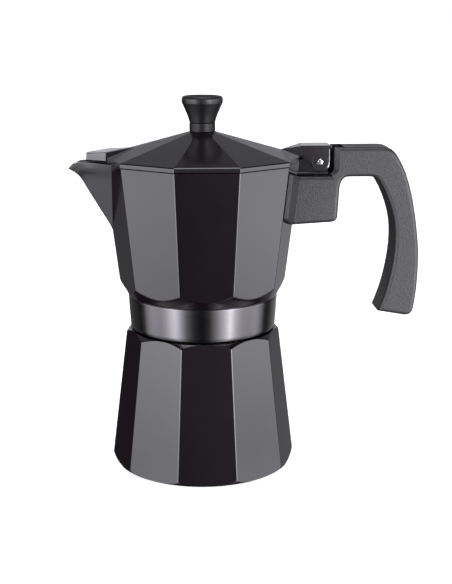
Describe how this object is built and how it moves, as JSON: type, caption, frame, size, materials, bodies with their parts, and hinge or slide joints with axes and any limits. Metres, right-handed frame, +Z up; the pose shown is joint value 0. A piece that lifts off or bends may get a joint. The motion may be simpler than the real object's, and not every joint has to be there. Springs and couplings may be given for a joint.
{
  "type": "moka pot",
  "caption": "Ten-sided stovetop coffee maker: lower boiler with safety valve, screwed-on collector with pouring spout, hinged pyramid lid with knob, and a side handle.",
  "frame": {"origin": "centre of the boiler's underside, on the pot's axis", "axes": "+Z up along the pot's axis, +X towards the handle, so the spout points to -X and the safety valve to +Y"},
  "size_m": [0.1826, 0.107, 0.1949],
  "materials": {
    "black_coated_aluminium": "smooth black baked coating, satin sheen, on die-cast aluminium",
    "bare_aluminium": "satin, uncoated",
    "steel": "bright stainless",
    "brass": "turned brass",
    "silicone": "matt translucent white silicone",
    "black_plastic": "fine-grained moulded black plastic"
  },
  "bodies": {
    "boiler": {"boiler_chamber": "black_coated_aluminium", "valve_body": "brass", "valve_washer": "silicone", "valve_end_ring": "brass", "valve_spring": "steel"},
    "valve_plunger_body": {"valve_plunger": "brass", "valve_seal": "silicone"},
    "funnel": {"funnel_bowl": "bare_aluminium", "funnel_stem": "bare_aluminium", "funnel_screen": "bare_aluminium"},
    "gasket_carrier": {"gasket": "silicone"},
    "filter_carrier": {"filter_plate": "bare_aluminium"},
    "collector": {"collector_chamber": "black_coated_aluminium", "riser_column": "bare_aluminium", "column_cap": "steel", "handle": "black_plastic", "handle_screw": "steel", "hinge_pin": "steel"},
    "lid_body": {"lid": "black_coated_aluminium", "lid_knob": "black_plastic", "knob_collar": "black_plastic", "knob_washer": "steel", "knob_screw": "steel"}
  },
  "joints": [
    {"name": "collector_lift", "type": "slide", "parent": "boiler", "child": "gasket_carrier", "axis": [0, 0, 1], "range_m": [0, 0.2]},
    {"name": "thread_rise", "type": "slide", "parent": "gasket_carrier", "child": "filter_carrier", "axis": [0, 0, 1], "range_m": [0, 0.0045]},
    {"name": "collector_unscrew", "type": "hinge", "parent": "filter_carrier", "child": "collector", "pos_m": [0, 0, 0.082], "axis": [0, 0, 1], "range_deg": [0, 540]},
    {"name": "lid_hinge", "type": "hinge", "parent": "collector", "child": "lid_body", "pos_m": [0.0605, 0, 0.1615], "axis": [0, 1, 0], "range_deg": [0, 95]},
    {"name": "funnel_lift", "type": "slide", "parent": "boiler", "child": "funnel", "axis": [0, 0, 1], "range_m": [0, 0.09]},
    {"name": "valve_plunger_slide", "type": "slide", "parent": "boiler", "child": "valve_plunger_body", "axis": [0, 1, 0], "range_m": [0, 0.0015], "stiffness_N_per_m": 2000, "springref_m": -0.001}
  ],
  "couplings": [
    {"joint": "thread_rise", "follows": "collector_unscrew", "m_per_rad": 0.00047746},
    {"joint": "funnel_lift", "follows": "collector_lift", "ratio": 0.45}
  ]
}
